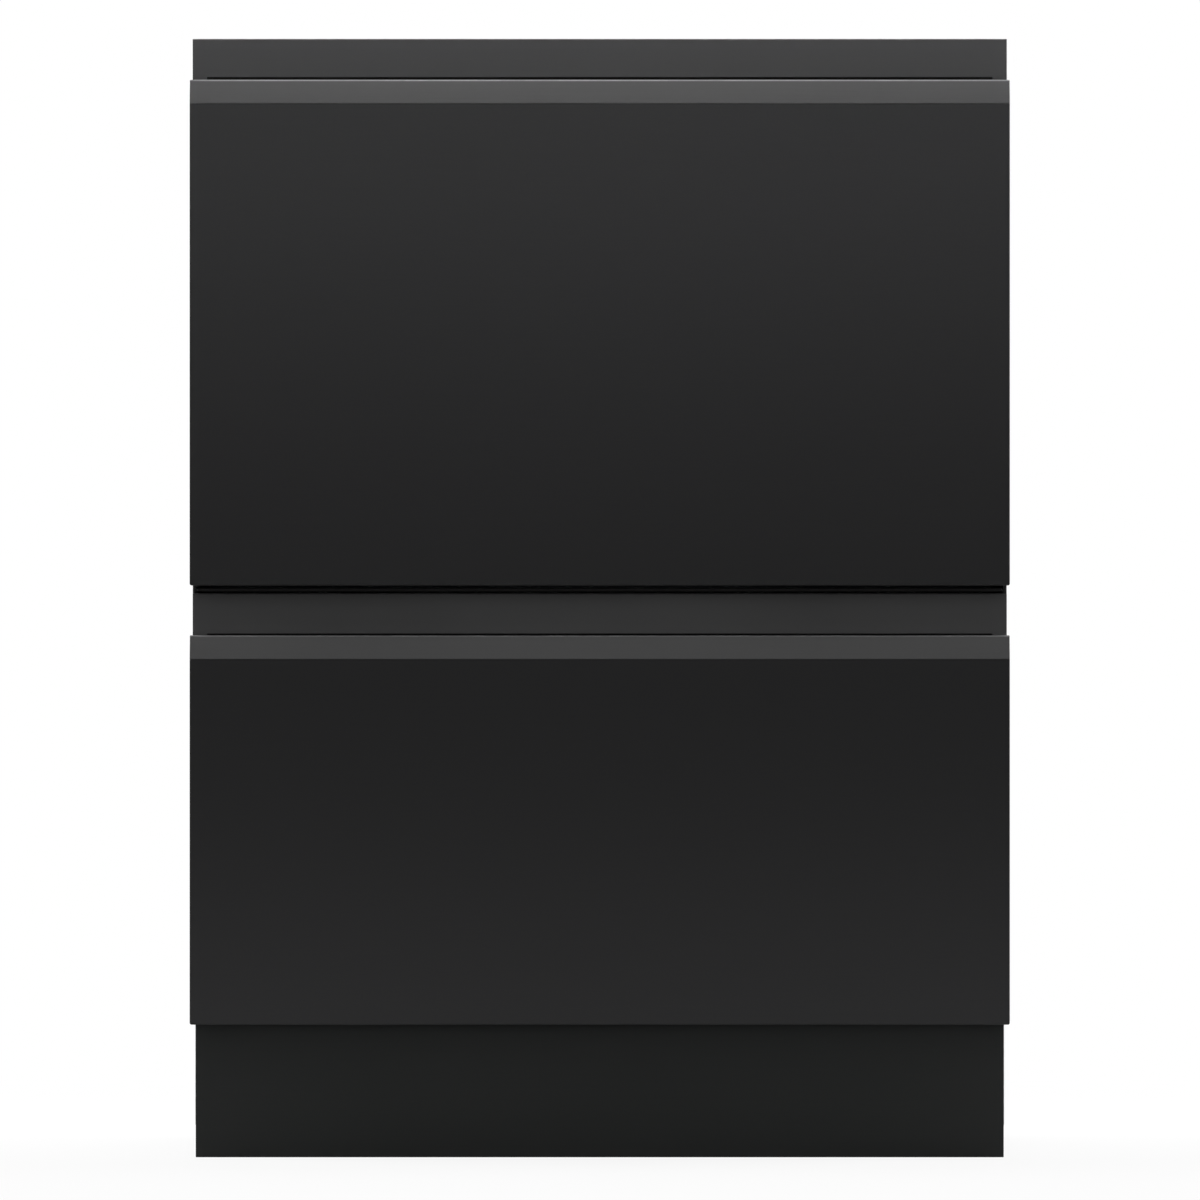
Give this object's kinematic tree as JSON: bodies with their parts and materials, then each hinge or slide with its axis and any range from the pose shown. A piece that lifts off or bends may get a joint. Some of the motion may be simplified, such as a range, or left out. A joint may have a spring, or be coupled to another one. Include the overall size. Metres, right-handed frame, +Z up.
{
  "type": "dishwasher drawer",
  "caption": "Double dishwasher drawer: two tubs with racks on telescopic runners in one cabinet, black handle-free fronts with a bevelled grip lip.",
  "frame": {"origin": "on the floor under the middle of the cabinet", "axes": "+Z up, the drawer fronts face -Y, +X is the right side seen from the front"},
  "size_m": [0.599, 0.573, 0.82],
  "materials": {
    "front_black": "satin black front sheet",
    "grip_black": "satin black anodised extrusion",
    "strip_black": "satin black folded strip",
    "kick_black": "satin black sheet",
    "steel": "zinc coated sheet steel",
    "tub_grey": "light grey moulding",
    "wire_grey": "grey nylon coated wire",
    "moulded_grey": "dark grey moulding",
    "moulded_white": "white moulding",
    "moulded_black": "black moulding",
    "rubber_black": "black seal"
  },
  "bodies": {
    "cabinet": {"left_side_panel": "steel", "right_side_panel": "steel", "rear_panel": "steel", "base_pan": "steel", "top_panel": "steel", "mid_panel": "steel", "kickboard": "kick_black", "cabinet_rails": "steel", "lid_lifts": "moulded_grey", "water_valve": "moulded_white", "waste_outlet": "moulded_grey", "power_inlet": "moulded_black"},
    "foot_front_left": {"foot_front_left": "moulded_black"},
    "foot_front_right": {"foot_front_right": "moulded_black"},
    "foot_rear_left": {"foot_rear_left": "moulded_black"},
    "foot_rear_right": {"foot_rear_right": "moulded_black"},
    "upper_drawer": {"upper_tub": "tub_grey", "upper_front_panel": "front_black", "upper_grip_lip": "grip_black", "upper_recess_strip": "strip_black", "upper_control_panel": "moulded_black", "upper_front_carrier": "moulded_grey", "upper_filter_plate": "moulded_grey", "upper_wash_motor": "moulded_black", "upper_rack": "wire_grey", "upper_cutlery_basket": "moulded_grey", "upper_dispenser": "moulded_grey", "upper_drawer_rails": "steel"},
    "upper_mid_rails": {"upper_mid_rails": "steel"},
    "upper_lid": {"upper_lid": "moulded_white", "upper_lid_seal": "rubber_black"},
    "upper_spray_arm": {"upper_spray_arm": "moulded_white"},
    "upper_cup_rack_left": {"upper_cup_rack_left": "wire_grey"},
    "upper_cup_rack_right": {"upper_cup_rack_right": "wire_grey"},
    "upper_fold_tines": {"upper_fold_tines": "wire_grey"},
    "upper_dispenser_door": {"upper_dispenser_door": "moulded_grey"},
    "upper_power_button": {"upper_power_button": "moulded_grey"},
    "upper_program_button": {"upper_program_button": "moulded_grey"},
    "upper_start_button": {"upper_start_button": "moulded_grey"},
    "lower_drawer": {"lower_tub": "tub_grey", "lower_front_panel": "front_black", "lower_grip_lip": "grip_black", "lower_recess_strip": "strip_black", "lower_control_panel": "moulded_black", "lower_front_carrier": "moulded_grey", "lower_filter_plate": "moulded_grey", "lower_wash_motor": "moulded_black", "lower_rack": "wire_grey", "lower_dispenser": "moulded_grey", "lower_drawer_rails": "steel"},
    "lower_mid_rails": {"lower_mid_rails": "steel"},
    "lower_lid": {"lower_lid": "moulded_white", "lower_lid_seal": "rubber_black"},
    "lower_spray_arm": {"lower_spray_arm": "moulded_white"},
    "lower_cup_rack_right": {"lower_cup_rack_right": "wire_grey"},
    "lower_fold_tines": {"lower_fold_tines": "wire_grey"},
    "lower_dispenser_door": {"lower_dispenser_door": "moulded_grey"},
    "lower_power_button": {"lower_power_button": "moulded_grey"},
    "lower_program_button": {"lower_program_button": "moulded_grey"},
    "lower_start_button": {"lower_start_button": "moulded_grey"}
  },
  "joints": [
    {"name": "foot_front_left_screw", "type": "slide", "parent": "cabinet", "child": "foot_front_left", "axis": [0, 0, -1], "range_m": [0, 0.06]},
    {"name": "foot_front_right_screw", "type": "slide", "parent": "cabinet", "child": "foot_front_right", "axis": [0, 0, -1], "range_m": [0, 0.06]},
    {"name": "foot_rear_left_screw", "type": "slide", "parent": "cabinet", "child": "foot_rear_left", "axis": [0, 0, -1], "range_m": [0, 0.06]},
    {"name": "foot_rear_right_screw", "type": "slide", "parent": "cabinet", "child": "foot_rear_right", "axis": [0, 0, -1], "range_m": [0, 0.06]},
    {"name": "upper_drawer_slide", "type": "slide", "parent": "cabinet", "child": "upper_drawer", "axis": [0, -1, 0], "range_m": [0, 0.48]},
    {"name": "upper_mid_rail_slide", "type": "slide", "parent": "cabinet", "child": "upper_mid_rails", "axis": [0, -1, 0], "range_m": [0, 0.24]},
    {"name": "upper_lid_lift", "type": "slide", "parent": "cabinet", "child": "upper_lid", "axis": [0, 0, 1], "range_m": [0, 0.0077]},
    {"name": "upper_spray_arm_spin", "type": "hinge", "parent": "upper_drawer", "child": "upper_spray_arm", "pos_m": [0, 0.0055, 0.512], "axis": [0, 0, 1], "continuous": true},
    {"name": "upper_cup_rack_left_fold", "type": "hinge", "parent": "upper_drawer", "child": "upper_cup_rack_left", "pos_m": [-0.2499, 0.0055, 0.675], "axis": [0, -1, 0], "range_deg": [0, 90]},
    {"name": "upper_cup_rack_right_fold", "type": "hinge", "parent": "upper_drawer", "child": "upper_cup_rack_right", "pos_m": [0.2499, 0.0055, 0.675], "axis": [0, 1, 0], "range_deg": [0, 90]},
    {"name": "upper_fold_tines_fold", "type": "hinge", "parent": "upper_drawer", "child": "upper_fold_tines", "pos_m": [0, 0.0055, 0.5513], "axis": [-1, 0, 0], "range_deg": [0, 84]},
    {"name": "upper_dispenser_door_hinge", "type": "hinge", "parent": "upper_drawer", "child": "upper_dispenser_door", "pos_m": [-0.1029, -0.1951, 0.704], "axis": [-1, 0, 0], "range_deg": [0, 90]},
    {"name": "upper_power_button_press", "type": "slide", "parent": "upper_drawer", "child": "upper_power_button", "axis": [0, 0, -1], "range_m": [0, 0.0008], "stiffness_N_per_m": 400, "springref_m": -0.001},
    {"name": "upper_program_button_press", "type": "slide", "parent": "upper_drawer", "child": "upper_program_button", "axis": [0, 0, -1], "range_m": [0, 0.0008], "stiffness_N_per_m": 400, "springref_m": -0.001},
    {"name": "upper_start_button_press", "type": "slide", "parent": "upper_drawer", "child": "upper_start_button", "axis": [0, 0, -1], "range_m": [0, 0.0008], "stiffness_N_per_m": 400, "springref_m": -0.001},
    {"name": "lower_drawer_slide", "type": "slide", "parent": "cabinet", "child": "lower_drawer", "axis": [0, -1, 0], "range_m": [0, 0.48]},
    {"name": "lower_mid_rail_slide", "type": "slide", "parent": "cabinet", "child": "lower_mid_rails", "axis": [0, -1, 0], "range_m": [0, 0.24]},
    {"name": "lower_lid_lift", "type": "slide", "parent": "cabinet", "child": "lower_lid", "axis": [0, 0, 1], "range_m": [0, 0.0077]},
    {"name": "lower_spray_arm_spin", "type": "hinge", "parent": "lower_drawer", "child": "lower_spray_arm", "pos_m": [0, 0.0055, 0.182], "axis": [0, 0, 1], "continuous": true},
    {"name": "lower_cup_rack_right_fold", "type": "hinge", "parent": "lower_drawer", "child": "lower_cup_rack_right", "pos_m": [0.2499, 0.0055, 0.269], "axis": [0, 1, 0], "range_deg": [0, 90]},
    {"name": "lower_fold_tines_fold", "type": "hinge", "parent": "lower_drawer", "child": "lower_fold_tines", "pos_m": [0, 0.0055, 0.2213], "axis": [-1, 0, 0], "range_deg": [0, 84]},
    {"name": "lower_dispenser_door_hinge", "type": "hinge", "parent": "lower_drawer", "child": "lower_dispenser_door", "pos_m": [-0.1029, -0.1951, 0.298], "axis": [-1, 0, 0], "range_deg": [0, 90]},
    {"name": "lower_power_button_press", "type": "slide", "parent": "lower_drawer", "child": "lower_power_button", "axis": [0, 0, -1], "range_m": [0, 0.0008], "stiffness_N_per_m": 400, "springref_m": -0.001},
    {"name": "lower_program_button_press", "type": "slide", "parent": "lower_drawer", "child": "lower_program_button", "axis": [0, 0, -1], "range_m": [0, 0.0008], "stiffness_N_per_m": 400, "springref_m": -0.001},
    {"name": "lower_start_button_press", "type": "slide", "parent": "lower_drawer", "child": "lower_start_button", "axis": [0, 0, -1], "range_m": [0, 0.0008], "stiffness_N_per_m": 400, "springref_m": -0.001}
  ],
  "couplings": [
    {"joint": "upper_mid_rail_slide", "follows": "upper_drawer_slide", "ratio": 0.5},
    {"joint": "lower_mid_rail_slide", "follows": "lower_drawer_slide", "ratio": 0.5}
  ]
}
